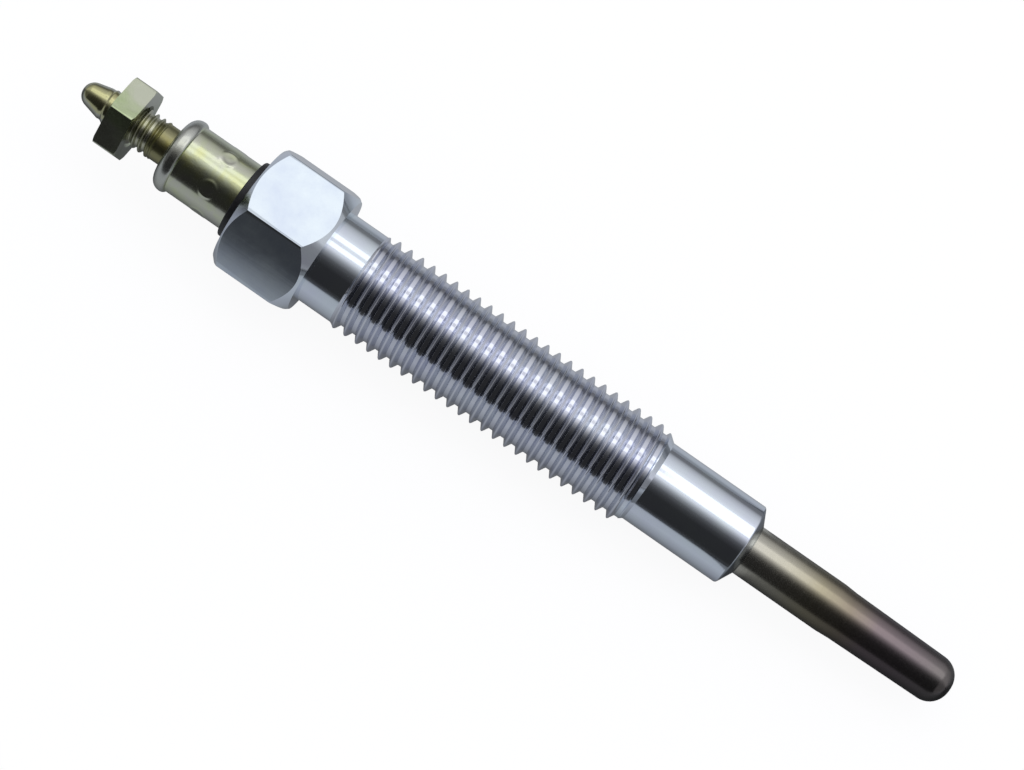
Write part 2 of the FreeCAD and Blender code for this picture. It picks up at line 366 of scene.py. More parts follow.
def bevelled_by_turning(piece, rear, front, flats, face_radius, rear_angle, front_angle):
    """Turns both ends of a hexagon bar down to a face radius, which leaves the arcs on its flats."""
    outer = flats / sqrt(3) + ENVELOPE_SPARE
    rear_depth = (outer - face_radius) * tan(radians(rear_angle))
    front_depth = (outer - face_radius) * tan(radians(front_angle))
    envelope = spun("envelope", [
        (rear, 0), (rear, face_radius), (rear + rear_depth, outer),
        (front - front_depth, outer), (front, face_radius), (front, 0),
    ], ENVELOPE_ROUND)
    return combined(piece, envelope, "INTERSECT")


def thread_form(pitch, crest_rounding, root_flat, root_rounding):
    """One turn of a thread's profile from the middle of its crest, as (offset, depth) points."""
    flank = radians(FLANK_ANGLE)
    ridge = radians(RIDGE_ANGLE)
    steps = 3
    side = []
    for k in range(steps + 1):
        angle = ridge + (flank - ridge) * k / steps
        offset = crest_rounding * (sin(angle) - sin(ridge))
        side.append((offset, crest_rounding * (cos(ridge) - cos(angle))))
    corner = (pitch - root_flat) / 2
    depth = side[-1][1] + (corner - side[-1][0]) * tan(flank)
    centre = corner + root_rounding * tan(flank / 2)
    top = side[-1]
    foot = (centre - root_rounding * sin(flank), depth - root_rounding * (1 - cos(flank)))
    for k in range(1, steps):
        side.append((top[0] + (foot[0] - top[0]) * k / steps, top[1] + (foot[1] - top[1]) * k / steps))
    for k in reversed(range(steps + 1)):
        angle = flank * k / steps
        side.append((centre - root_rounding * sin(angle), depth - root_rounding * (1 - cos(angle))))
    # One more point, a tenth of the way to the middle, keeps the root flat under smooth shading
    side.append((centre + 0.1 * (pitch / 2 - centre), depth))
    root = (pitch / 2, depth)
    return side + [root] + [(pitch - offset, depth) for offset, depth in reversed(side[1:])]


def thread_line(form, pitch, start, stop, crest):
    """The thread's profile from one turn before its start to one after its stop, as (x, r) points."""
    turns = int((stop - start) / pitch) + 3
    points = []
    for turn in range(turns):
        for offset, depth in form:
            points.append((start - pitch + turn * pitch + offset, crest - depth))
    return points


def screwed(name, line, pitch, segments):
    """The helical surface that a profile makes when it turns once and moves on by one pitch."""
    piece = drawn(name, line)
    bpy.ops.object.mode_set(mode="OBJECT")
    screw = piece.modifiers.new("turn", "SCREW")
    screw.axis = "X"
    screw.angle = 2 * pi
    screw.screw_offset = pitch
    screw.steps = segments
    screw.render_steps = segments
    screw.use_merge_vertices = False
    bpy.ops.object.modifier_apply(modifier=screw.name)
    return piece


def smooth_step(value):
    """0 below 0, 1 above 1 and a smooth rise between."""
    value = min(max(value, 0.0), 1.0)
    return value * value * (3 - 2 * value)


def trimmed_thread(piece, start, stop, crest, start_radius, stop_radius, start_slope, stop_slope,
                   rear_fade, front_fade=0.0):
    """Ends a thread square at both stations, fades its grooves there and slopes its first and last turn."""
    for v in piece.data.vertices:
        radius = hypot(v.co.y, v.co.z)
        x = min(max(v.co.x, start), stop)
        depth = crest - radius
        depth *= smooth_step((x - start) / rear_fade)
        if front_fade:
            depth *= smooth_step((stop - x) / front_fade)
        rear_slope = start_radius + (x - start) * start_slope - SLOPE_GROOVES * depth
        front_slope = stop_radius + (stop - x) * stop_slope
        new_radius = min(crest - depth, rear_slope, front_slope)
        v.co = (x, v.co.y * new_radius / radius, v.co.z * new_radius / radius)
    return piece


def joined(piece, *others):
    """Joins open surfaces that meet in shared rings into one closed piece."""
    bpy.ops.object.select_all(action="DESELECT")
    for other in others:
        other.select_set(True)
    piece.select_set(True)
    bpy.context.view_layer.objects.active = piece
    bpy.ops.object.join()
    bpy.ops.object.mode_set(mode="EDIT")
    return closed(piece)


def delete_faces_at(piece, x):
    """Deletes the flat faces that lie square to the axis at a station."""
    bm = edit(piece)
    bpy.ops.mesh.select_mode(type="FACE")
    for f in bm.faces:
        f.select_set(all(abs(v.co.x - x) < TOLERANCE for v in f.verts))
    bmesh.update_edit_mesh(piece.data)
    bpy.ops.mesh.delete(type="FACE")
    bpy.ops.object.mode_set(mode="OBJECT")


def finished(piece, slot_name, materials, *replaced):
    """Brings a piece to its real size and gives it its materials, its body and the nodes it stands for."""
    bpy.ops.object.select_all(action="DESELECT")
    bpy.context.view_layer.objects.active = piece
    piece.select_set(True)
    piece.scale = (MM, MM, MM)
    bpy.ops.object.transform_apply(location=True, rotation=True, scale=True)
    bpy.ops.object.shade_smooth_by_angle(angle=radians(SMOOTH_ANGLE))
    for material in materials:
        piece.data.materials.append(material)
    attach(piece, "root")
    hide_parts(*replaced)
    return piece


# Materials

def linear(hex_colour):
    """An sRGB hex colour as linear red, green, blue and alpha."""
    channels = [int(hex_colour[i:i + 2], 16) / 255 for i in (1, 3, 5)]
    return tuple(c / 12.92 if c <= 0.04045 else ((c + 0.055) / 1.055) ** 2.4 for c in channels) + (1.0,)


def add(tree, kind, inputs, stops=(), **settings):
    """Adds a node, sets it, and gives each input its value or the output that feeds it.

    A colour ramp's stops are (position, colour) pairs in rising order.
    """
    made = tree.nodes.new(kind)
    for name, value in settings.items():
        setattr(made, name, value)
    for i, (position, colour) in enumerate(stops):
        if i > 1:
            made.color_ramp.elements.new(position)
        made.color_ramp.elements[i].position = position
        made.color_ramp.elements[i].color = colour
    for name, value in inputs.items():
        if isinstance(value, bpy.types.NodeSocket):
            tree.links.new(value, made.inputs[name])
        else:
            made.inputs[name].default_value = value
    return made


def new_material(name, **shader_values):
    """A material with a Principled shader whose own sockets hold what is the same all over."""
    material = bpy.data.materials.new(name)
    material.use_nodes = True
    tree = material.node_tree
    tree.nodes.clear()
    values = {name.replace("_", " "): value for name, value in shader_values.items()}
    shader = add(tree, "ShaderNodeBsdfPrincipled", values)
    add(tree, "ShaderNodeOutputMaterial", {"Surface": shader.outputs[0]})
    coordinates = add(tree, "ShaderNodeTexCoord", {}).outputs["Object"]
    return material, tree, shader, coordinates


def connect(tree, shader, colour, gloss, bump):
    """Gives a material's shader its colour, its roughness and its relief."""
    tree.links.new(colour, shader.inputs["Base Color"])
    tree.links.new(gloss, shader.inputs["Roughness"])
    tree.links.new(bump.outputs[0], shader.inputs["Normal"])


def per_mm(size):
    """A noise scale whose features are about this many millimetres across.

    Tool marks, drawing lines, grinding marks and the finest grain are finer than this on a real plug, and
    are drawn as coarse as they need to be to show.
    """
    return 1000.0 / size


def turned_zinc(name, tints):
    """Bright zinc with clear bluish passivation on turned steel: fine rings from the tool under the
    plating, and a faint cloudiness in colour and gloss."""
    material, tree, shader, place = new_material(name, Metallic=1.0)
    # Rings: the noise changes quickly along the axis and hardly at all round it
    rings = add(tree, "ShaderNodeMapping", {"Vector": place, "Scale": (1.0, 0.03, 0.03)}).outputs[0]
    tool_marks = add(tree, "ShaderNodeTexNoise", {
        "Vector": rings, "Scale": per_mm(0.35), "Detail": 3.0, "Roughness": 0.6}).outputs["Fac"]
    clouds = add(tree, "ShaderNodeTexNoise", {
        "Vector": place, "Scale": per_mm(3.0), "Detail": 4.0, "Roughness": 0.6}).outputs["Fac"]
    grain = add(tree, "ShaderNodeTexNoise", {
        "Vector": place, "Scale": per_mm(0.3), "Detail": 2.0}).outputs["Fac"]
    colour = add(tree, "ShaderNodeValToRGB", {"Fac": clouds}, [
        (0.3, linear(tints[0])), (0.7, linear(tints[1]))]).outputs[0]
    gloss = add(tree, "ShaderNodeMapRange", {
        "Value": clouds, "From Min": 0.3, "From Max": 0.7, "To Min": 0.08, "To Max": 0.13}).outputs[0]
    bump = add(tree, "ShaderNodeBump", {"Height": tool_marks, "Strength": 0.08, "Distance": 0.02 * MM})
    bump = add(tree, "ShaderNodeBump", {
        "Height": grain, "Strength": 0.025, "Distance": 0.02 * MM, "Normal": bump.outputs[0]})
    connect(tree, shader, colour, gloss, bump)
    return material


def drawn_zinc():
    """The same zinc on cold drawn bar: flat and smooth, a little greyer, with faint lengthwise drawing
    lines and small handling marks."""
    material, tree, shader, place = new_material("clear zinc on drawn bar", Metallic=1.0)
    lines = add(tree, "ShaderNodeMapping", {"Vector": place, "Scale": (0.05, 1.0, 1.0)}).outputs[0]
    drawing = add(tree, "ShaderNodeTexNoise", {
        "Vector": lines, "Scale": per_mm(0.4), "Detail": 3.0, "Roughness": 0.6}).outputs["Fac"]
    clouds = add(tree, "ShaderNodeTexNoise", {
        "Vector": place, "Scale": per_mm(2.5), "Detail": 5.0, "Roughness": 0.6}).outputs["Fac"]
    marks = add(tree, "ShaderNodeTexVoronoi", {
        "Vector": place, "Scale": per_mm(2.2), "Randomness": 1.0}).outputs["Distance"]
    colour = add(tree, "ShaderNodeValToRGB", {"Fac": clouds}, [
        (0.3, linear("#b8c1cd")), (0.7, linear("#c5ced3"))]).outputs[0]
    gloss = add(tree, "ShaderNodeMapRange", {
        "Value": clouds, "From Min": 0.3, "From Max": 0.7, "To Min": 0.04, "To Max": 0.09}).outputs[0]
    bump = add(tree, "ShaderNodeBump", {"Height": drawing, "Strength": 0.03, "Distance": 0.02 * MM})
    bump = add(tree, "ShaderNodeBump", {
        "Height": marks, "Strength": 0.012, "Distance": 0.1 * MM, "Normal": bump.outputs[0]})
    connect(tree, shader, colour, gloss, bump)
    return material


def yellow_zinc(name, tints, gloss_range, radius):
    """Zinc with yellow chromate passivation: a thin film on a bright turned surface. Its tint drifts from
    grey green to straw over a few millimetres, and towards the side that faces the camera it is painted
    yellower, a painted sheen."""
    material, tree, shader, place = new_material(name, Metallic=1.0)
    rings = add(tree, "ShaderNodeMapping", {"Vector": place, "Scale": (1.0, 0.05, 0.05)}).outputs[0]
    tool_marks = add(tree, "ShaderNodeTexNoise", {
        "Vector": rings, "Scale": per_mm(0.3), "Detail": 3.0, "Roughness": 0.6}).outputs["Fac"]
    drift = add(tree, "ShaderNodeTexNoise", {
        "Vector": place, "Scale": per_mm(2.6), "Detail": 3.0, "Roughness": 0.55,
        "Distortion": 0.6}).outputs["Fac"]
    side = radians(YELLOW_SHEEN_SIDE)
    across = add(tree, "ShaderNodeVectorMath", {
        0: place, 1: (0.0, -cos(side), sin(side))}, operation="DOT_PRODUCT").outputs["Value"]
    # On the side facing the camera the painted yellow sheen grows over the last eighth or so of the radius
    across = add(tree, "ShaderNodeMapRange", {
        "Value": across, "From Min": 0.88 * radius * MM, "From Max": radius * MM,
        "To Min": -0.12, "To Max": 0.22}).outputs[0]
    # The film value is the random drift plus the painted sheen towards the camera's side
    film = add(tree, "ShaderNodeMath", {0: drift, 1: across}, operation="ADD").outputs[0]
    stops = [(0.3 + 0.5 * i / (len(tints) - 1), linear(tint)) for i, tint in enumerate(tints)]
    colour = add(tree, "ShaderNodeValToRGB", {"Fac": film}, stops).outputs[0]
    gloss = add(tree, "ShaderNodeMapRange", {
        "Value": drift, "From Min": 0.3, "From Max": 0.7,
        "To Min": gloss_range[0], "To Max": gloss_range[1]}).outputs[0]
    bump = add(tree, "ShaderNodeBump", {"Height": tool_marks, "Strength": 0.1, "Distance": 0.02 * MM})
    # Slight unevenness, which makes the lamps' reflections waver
    bump = add(tree, "ShaderNodeBump", {
        "Height": drift, "Strength": 0.3, "Distance": 0.1 * MM, "Normal": bump.outputs[0]})
    connect(tree, shader, colour, gloss, bump)
    return material


def tinted_sheath():
    """Heat-resisting steel, annealed and ground: the film from heat runs from grey beige at the seat
    through olive and brown to a purple grey tip. The film scatters a little light, so its dark side
    stays grey."""
    material, tree, shader, place = new_material(
        "annealed heat-resisting steel", Metallic=1.0, Coat_Weight=0.4, Coat_Roughness=0.6)
    along = add(tree, "ShaderNodeSeparateXYZ", {"Vector": place}).outputs[0]
    drift = add(tree, "ShaderNodeTexNoise", {
        "Vector": place, "Scale": per_mm(5.0), "Detail": 2.0}).outputs["Fac"]
    drift = add(tree, "ShaderNodeMapRange", {
        "Value": drift, "To Min": -1.2 * MM, "To Max": 1.2 * MM}).outputs[0]
    along = add(tree, "ShaderNodeMath", {0: along, 1: drift}, operation="ADD").outputs[0]
    share = add(tree, "ShaderNodeMapRange", {
        "Value": along, "From Min": 0.0, "From Max": SHEATH_REACH * MM}).outputs[0]
    colour = add(tree, "ShaderNodeValToRGB", {"Fac": share}, [
        (0.0, linear("#b2b0a6")), (0.2, linear("#ada999")), (0.36, linear("#9c957e")),
        (0.5, linear("#867c6d")), (0.62, linear("#796d6f")), (0.78, linear("#72686b")),
        (0.95, linear("#6c6866"))]).outputs[0]
    rings = add(tree, "ShaderNodeMapping", {"Vector": place, "Scale": (1.0, 0.04, 0.04)}).outputs[0]
    grinding = add(tree, "ShaderNodeTexNoise", {
        "Vector": rings, "Scale": per_mm(0.3), "Detail": 3.0, "Roughness": 0.65}).outputs["Fac"]
    gloss = add(tree, "ShaderNodeMapRange", {
        "Value": grinding, "From Min": 0.3, "From Max": 0.7, "To Min": 0.17, "To Max": 0.24}).outputs[0]
    bump = add(tree, "ShaderNodeBump", {"Height": grinding, "Strength": 0.2, "Distance": 0.02 * MM})
    connect(tree, shader, colour, gloss, bump)
    return material


def plain_surface(name, colours, roughness, grain_mm, relief, **shader_values):
    """A surface with one fine grain, which shades its colour between two tints and gives it its bump."""
    material, tree, shader, place = new_material(name, **shader_values)
    grain = add(tree, "ShaderNodeTexNoise", {
        "Vector": place, "Scale": per_mm(grain_mm), "Detail": 4.0, "Roughness": 0.6}).outputs["Fac"]
    colour = add(tree, "ShaderNodeValToRGB", {"Fac": grain}, [
        (0.3, linear(colours[0])), (0.7, linear(colours[1]))]).outputs[0]
    gloss = add(tree, "ShaderNodeMapRange", {
        "Value": grain, "From Min": 0.3, "From Max": 0.7,
        "To Min": roughness[0], "To Max": roughness[1]}).outputs[0]
    bump = add(tree, "ShaderNodeBump", {"Height": grain, "Strength": relief, "Distance": 0.05 * MM})
    connect(tree, shader, colour, gloss, bump)
    return material


# The pieces

def make_housing():
    """Hexagon, shank, thread, pilot and cone, with the stepped bore, as one closed shell."""
    housing = hexagonal_bar("housing_steel", HEX_REAR, HEX_FRONT, HEX_FLATS, 0.0, HEX_EDGE)
    bevelled_by_turning(housing, HEX_REAR, HEX_FRONT, HEX_FLATS, HEX_FACE_RADIUS, HEX_REAR_CHAMFER,
                        HEX_FRONT_CHAMFER)
    middle = (HEX_REAR + HEX_FRONT) / 2
    shank = spun("shank", [
        (middle, 0), (middle, SHANK_RADIUS), (THREAD_REAR, SHANK_RADIUS), (THREAD_REAR, 0)])
    combined(housing, shank, "UNION")
    mouth_radius = COUNTERBORE_RADIUS + COUNTERBORE_CHAMFER
    cut = spun("counterbore", [
        (HEX_REAR - OVERSHOOT, 0), (HEX_REAR - OVERSHOOT, mouth_radius), (HEX_REAR, mouth_radius),
        (HEX_REAR + COUNTERBORE_CHAMFER, COUNTERBORE_RADIUS), (COUNTERBORE_FLOOR, COUNTERBORE_RADIUS),
        (COUNTERBORE_FLOOR, ROD_BORE_RADIUS), (THREAD_REAR + OVERSHOOT, ROD_BORE_RADIUS),
        (THREAD_REAR + OVERSHOOT, 0),
    ])
    combined(housing, cut, "DIFFERENCE")
    delete_faces_at(housing, THREAD_REAR)

    form = thread_form(BODY_PITCH, BODY_CREST_ROUNDING, BODY_ROOT_FLAT, BODY_ROOT_ROUNDING)
    line = thread_line(form, BODY_PITCH, THREAD_REAR + BODY_THREAD_PHASE, PILOT_REAR, BODY_CREST)
    thread = screwed("body_thread", line, BODY_PITCH, ROUND)
    trimmed_thread(thread, THREAD_REAR, PILOT_REAR, BODY_CREST, SHANK_RADIUS, PILOT_RADIUS,
                   BODY_REAR_SLOPE, BODY_FRONT_SLOPE, BODY_REAR_FADE)
    pilot = spun("pilot", rounded([
        (PILOT_REAR, PILOT_RADIUS), (0.0, PILOT_RADIUS, SEAT_EDGE), (SEAT_FRONT, SEAT_RIM_RADIUS),
        (SEAT_FRONT, SHEATH_RADIUS), (SHEATH_REAR, SHEATH_RADIUS), (SHEATH_REAR, ROD_BORE_RADIUS),
        (THREAD_REAR, ROD_BORE_RADIUS),
    ], steps=4))
    joined(housing, thread, pilot)
    return housing


def make_sheath():
    """The heater's tube with its swage, its slow taper and its rounded nose, hollow inside."""
    taper = (TIP_RADIUS - SWAGED_RADIUS) / (SHEATH_REACH - SWAGE_END)
    wall = SHEATH_RADIUS - SHEATH_BORE_RADIUS
    cone_radius = SWAGED_RADIUS + taper * (CAVITY_CONE_REAR - SWAGE_END) - wall
    outline = rounded([
        (SHEATH_REAR, SHEATH_RADIUS), (SWAGE_START, SHEATH_RADIUS, SWAGE_ROUNDING),
        (SWAGE_END, SWAGED_RADIUS, SWAGE_ROUNDING), (SHEATH_REACH, TIP_RADIUS, NOSE_RADIUS),
        (SHEATH_REACH, 0), (CAVITY_FRONT, 0), (CAVITY_FRONT, CAVITY_END_RADIUS),
        (CAVITY_CONE_REAR, cone_radius), (SWAGE_END, SWAGED_RADIUS - wall),
        (SWAGE_START, SHEATH_BORE_RADIUS), (SHEATH_REAR, SHEATH_BORE_RADIUS),
    ], steps=10)
    # The nose's centre and the cavity's end are poles, so the outline is spun in two parts
    split = outline.index((SHEATH_REACH, 0))
    outside = spun("sheath_steel", outline[:split + 1], SHEATH_ROUND)
    inside = spun("sheath_inside", outline[split + 1:] + outline[:1], SHEATH_ROUND)
    return joined(outside, inside)


def make_rod():
    """Stud with its ball nose and thread, then the plain rod down to its slim inner end."""
    form = thread_form(STUD_PITCH, STUD_CREST_ROUNDING, STUD_ROOT_FLAT, STUD_ROOT_ROUNDING)
    line = thread_line(form, STUD_PITCH, STUD_THREAD_REAR, STUD_THREAD_FRONT, STUD_CREST)
    thread = screwed("stud_thread", line, STUD_PITCH, STUD_ROUND)
    cone_end = STUD_POINT_RADIUS + (STUD_THREAD_REAR - STUD_END) * STUD_CONE_SLOPE
    trimmed_thread(thread, STUD_THREAD_REAR, STUD_THREAD_FRONT, STUD_CREST, cone_end, STUD_NECK_RADIUS,
                   STUD_CONE_SLOPE, STUD_FRONT_SLOPE, STUD_REAR_FADE, STUD_FRONT_FADE)
    point = spun("rod_steel", rounded([
        (STUD_END, 0), (STUD_END, STUD_POINT_RADIUS, STUD_POINT_ROUNDING), (STUD_THREAD_REAR, cone_end),
    ], steps=8), STUD_ROUND)
    inner_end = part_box("centre_rod")[1].x / MM
    body = spun("rod_body", [
        (STUD_THREAD_FRONT, STUD_NECK_RADIUS), (COLLAR_FRONT, STUD_NECK_RADIUS), (COLLAR_FRONT, ROD_RADIUS),
        (ROD_SHOULDER - ROD_SHOULDER_CHAMFER, ROD_RADIUS),
        (ROD_SHOULDER, ROD_RADIUS - ROD_SHOULDER_CHAMFER), (ROD_SHOULDER, ROD_INNER_RADIUS),
        (inner_end, ROD_INNER_RADIUS), (inner_end, 0),
    ], STUD_ROUND)
    return joined(point, thread, body)


def punch_height(x, angle):
    """How far the punch marks move the collar's surface: shallow dents, each with a low raised lip."""
    pitch = 360.0 / PUNCH_COUNT
    off = (angle - PUNCH_ANGLE + pitch / 2) % pitch - pitch / 2
    distance = hypot(x - PUNCH_X, radians(off) * COLLAR_RADIUS)
    dent = 1 - smooth_step((distance - PUNCH_TIP_RADIUS) / (PUNCH_MOUTH_RADIUS - PUNCH_TIP_RADIUS))
    lip = 1 - smooth_step(abs(distance - PUNCH_MOUTH_RADIUS) / PUNCH_LIP_WIDTH)
    return PUNCH_LIP * lip - PUNCH_DEPTH * dent


def make_round_nut():
    """The collar with its bead and its punch marks pressed in."""
    # The barrel has points where the punch marks lie
    reach = PUNCH_MOUTH_RADIUS + PUNCH_LIP_WIDTH
    steps = 32
    marked = [(PUNCH_X - reach + 2 * reach * i / steps, COLLAR_RADIUS) for i in range(steps + 1)]
    # The bead's back is an arc that stops where it meets the barrel
    neck = BEAD_RADIUS - BEAD_NECK_ROUNDING
    meeting = asin((COLLAR_RADIUS - neck) / BEAD_NECK_ROUNDING)
    bead_end = COLLAR_REAR + BEAD_LENGTH - BEAD_NECK_ROUNDING
    back_steps = 6
    angles = [pi / 2 + (meeting - pi / 2) * i / back_steps for i in range(back_steps + 1)]
    back = [(bead_end + BEAD_NECK_ROUNDING * cos(a), neck + BEAD_NECK_ROUNDING * sin(a)) for a in angles]
    bore_rear = (COLLAR_REAR + COLLAR_COUNTERSINK, COLLAR_BORE_RADIUS)
    outline = rounded([
        bore_rear, (COLLAR_REAR, COLLAR_BORE_RADIUS + COLLAR_COUNTERSINK),
        (COLLAR_REAR, BEAD_RADIUS, BEAD_MOUTH_ROUNDING), (bead_end, BEAD_RADIUS),
    ], steps=9)[:-1]
    outline += back + marked + [
        (COLLAR_FRONT - COLLAR_EDGE, COLLAR_RADIUS), (COLLAR_FRONT, COLLAR_RADIUS - COLLAR_EDGE),
        (COLLAR_FRONT, COLLAR_BORE_RADIUS), bore_rear]
    nut = spun("round_nut_steel", outline, COLLAR_ROUND)
    for v in nut.data.vertices:
        radius = hypot(v.co.y, v.co.z)
        if abs(v.co.x - PUNCH_X) > reach or abs(radius - COLLAR_RADIUS) > TOLERANCE:
            continue
        # Angles count from the side towards the camera upwards, as in the CAD source
        angle = degrees(atan2(v.co.z, -v.co.y))
        scale = (radius + punch_height(v.co.x, angle)) / radius
        v.co = (v.co.x, v.co.y * scale, v.co.z * scale)
    return nut


def make_terminal_nut():
    """Thin hexagon nut: corners just broken, both mouths of its bore countersunk."""
    nut = hexagonal_bar("terminal_nut_steel", NUT_REAR, NUT_FRONT, NUT_FLATS, NUT_TURN, NUT_EDGE)
    bevelled_by_turning(nut, NUT_REAR, NUT_FRONT, NUT_FLATS, NUT_FACE_RADIUS, NUT_CHAMFER, NUT_CHAMFER)
    mouth_radius = NUT_BORE_RADIUS + NUT_COUNTERSINK
    bore = spun("nut_bore", [
        (NUT_REAR - OVERSHOOT, 0), (NUT_REAR - OVERSHOOT, mouth_radius), (NUT_REAR, mouth_radius),
        (NUT_REAR + NUT_COUNTERSINK, NUT_BORE_RADIUS), (NUT_FRONT - NUT_COUNTERSINK, NUT_BORE_RADIUS),
        (NUT_FRONT, mouth_radius), (NUT_FRONT + OVERSHOOT, mouth_radius), (NUT_FRONT + OVERSHOOT, 0),
    ], NUT_BORE_ROUND)
    return combined(nut, bore, "DIFFERENCE")


def make_bush():
    """Moulded ring between collar and hexagon, with its spigot in the counterbore."""
    return spun("bush_phenolic", rounded([
        (COLLAR_FRONT, BUSH_BORE_RADIUS), (COLLAR_FRONT, FLANGE_RADIUS, FLANGE_EDGE),
        (HEX_REAR, FLANGE_RADIUS, FLANGE_EDGE), (HEX_REAR, SPIGOT_RADIUS), (SPIGOT_FRONT, SPIGOT_RADIUS),
        (SPIGOT_FRONT, BUSH_BORE_RADIUS), (COLLAR_FRONT, BUSH_BORE_RADIUS),
    ]))


def zoned(piece, zone):
    """Gives each face the material whose place in the piece's list the zone rule names."""
    for face in piece.data.polygons:
        face.material_index = zone(face)


def housing_zone(face):
    """0 for turned surfaces, 1 for the hexagon's flats, 2 for the thread, whose darker zinc is painted
    shade.
    """
    x, radius = face.center.x / MM, face.center.yz.length / MM
    if THREAD_REAR < x < PILOT_REAR - BRIGHT_RING and radius > (ROD_BORE_RADIUS + PILOT_RADIUS) / 2:
        return 2
    # A flat's normal has next to no part along the axis, and a chamfer's has a large one
    lengthwise = abs(face.normal.x) < 0.02
    return int(HEX_REAR < x < HEX_FRONT and lengthwise and radius > SHANK_RADIUS)


def rod_zone(face):
    """0 for the neck and the rod, 1 for the thread, 2 for the nose."""
    if face.center.x < NUT_REAR * MM:
        return 2
    return int(face.center.x < (STUD_THREAD_FRONT - STUD_FRONT_FADE) * MM)


def collar_zone(face):
    """0 for the collar, 1 for its bead."""
    return int(face.center.x < (COLLAR_REAR + BEAD_LENGTH - BEAD_FILM_MARGIN) * MM)


# Studio

def camera():
    """The photo's camera: near the plug, above its front side, rolled so that the plug lies aslant."""
    elevation, turn, roll = radians(CAMERA_ELEVATION), radians(CAMERA_TURN), radians(CAMERA_ROLL)
    square_on = Vector((0, -cos(elevation), sin(elevation)))
    axis = Vector((1, 0, 0))
    back = axis * sin(turn) + square_on * cos(turn)
    along = axis * cos(turn) - square_on * sin(turn)
    right = along * cos(roll) + back.cross(along) * sin(roll)
    up = back.cross(right)
    data = bpy.data.cameras.new("camera")
    data.sensor_width = SENSOR
    data.lens = SENSOR * PIXELS_PER_MM * CAMERA_DISTANCE / PICTURE_WIDTH
    data.clip_start = 0.01
    seen_by = bpy.data.objects.new("camera", data)
    bpy.context.scene.collection.objects.link(seen_by)
    matrix = Matrix((right, up, back)).transposed().to_4x4()
    aim = Vector((CAMERA_AIM_X, 0, 0)) + back.cross(along) * CAMERA_AIM_UP
    matrix.translation = (aim + back * CAMERA_DISTANCE) * MM
    seen_by.matrix_world = matrix
    bpy.context.scene.camera = seen_by


def floor_height(x):
    """The floor's height under a station, both in millimetres."""
    lean = (FLOOR_EDGE_DROP - FLOOR_THREAD_DROP) / (FLOOR_THREAD_X - FLOOR_EDGE_X)
    return -FLOOR_EDGE_DROP + lean * (x - FLOOR_EDGE_X)


def sheet(name, x_range, y_range, lift):
    """A flat sheet that lies on the floor, or a little above it, between two stations and two sides."""
    bpy.ops.object.select_all(action="DESELECT")
    bpy.ops.mesh.primitive_plane_add(size=2.0)
    made = bpy.context.object
    made.name = name
    for v in made.data.vertices:
        x, y = x_range[v.co.x > 0], y_range[v.co.y > 0]
        v.co = (x * MM, y * MM, (floor_height(x) + lift) * MM)
    return made


def seen_rays(tree):
    """1 for the rays that show the background to the camera, in metal and through glass, 0 for the rest."""
    rays = add(tree, "ShaderNodeLightPath", {}).outputs
    seen = add(tree, "ShaderNodeMath", {
        0: rays["Is Camera Ray"], 1: rays["Is Glossy Ray"]}, operation="ADD").outputs[0]
    return add(tree, "ShaderNodeMath", {
        0: seen, 1: rays["Is Transmission Ray"]}, operation="ADD", use_clamp=True).outputs[0]


def floor():
    """The pale floor, which shows white to the camera and in the metal and keeps a soft shadow."""
    board = sheet("floor", FLOOR_SPAN, FLOOR_SPAN, 0.0)
    material = bpy.data.materials.new("white paper")
    material.use_nodes = True
    tree = material.node_tree
    tree.nodes.clear()
    paper = add(tree, "ShaderNodeBsdfDiffuse", {"Color": linear("#f2f2f6")}).outputs[0]
    white = add(tree, "ShaderNodeEmission", {"Color": (1, 1, 1, 1), "Strength": FLOOR_WHITE}).outputs[0]
    share = add(tree, "ShaderNodeMath", {
        0: seen_rays(tree), 1: FLOOR_WHITE_SHARE}, operation="MULTIPLY").outputs[0]
    mixed = add(tree, "ShaderNodeMixShader", {0: share, 1: paper, 2: white}).outputs[0]
    add(tree, "ShaderNodeOutputMaterial", {"Surface": mixed})
    board.data.materials.append(material)


def glowing(piece, measure, stops, tint, share=None):
    """Makes a piece of the room that only the metal sees: its brightness follows stops along one measure,
    and it can be lowered by a share that is measured too."""
    piece.visible_camera = False
    piece.visible_diffuse = False
    piece.visible_shadow = False
    material = bpy.data.materials.new(piece.name)
    material.use_nodes = True
    tree = material.node_tree
    tree.nodes.clear()
    place = add(tree, "ShaderNodeTexCoord", {}).outputs["Object"]
    xyz = add(tree, "ShaderNodeSeparateXYZ", {"Vector": place}).outputs
    value = measure(tree, xyz)
    tones = [(position, tuple(light / GLOW_TOP * part for part in tint) + (1.0,))
             for position, light in stops]
    colour = add(tree, "ShaderNodeValToRGB", {"Fac": value}, tones).outputs[0]
    strength = add(tree, "ShaderNodeMath", {
        0: share(tree, xyz) if share else 1.0, 1: GLOW_TOP}, operation="MULTIPLY").outputs[0]
    glow = add(tree, "ShaderNodeEmission", {"Color": colour, "Strength": strength}).outputs[0]
    add(tree, "ShaderNodeOutputMaterial", {"Surface": glow})
    piece.data.materials.append(material)


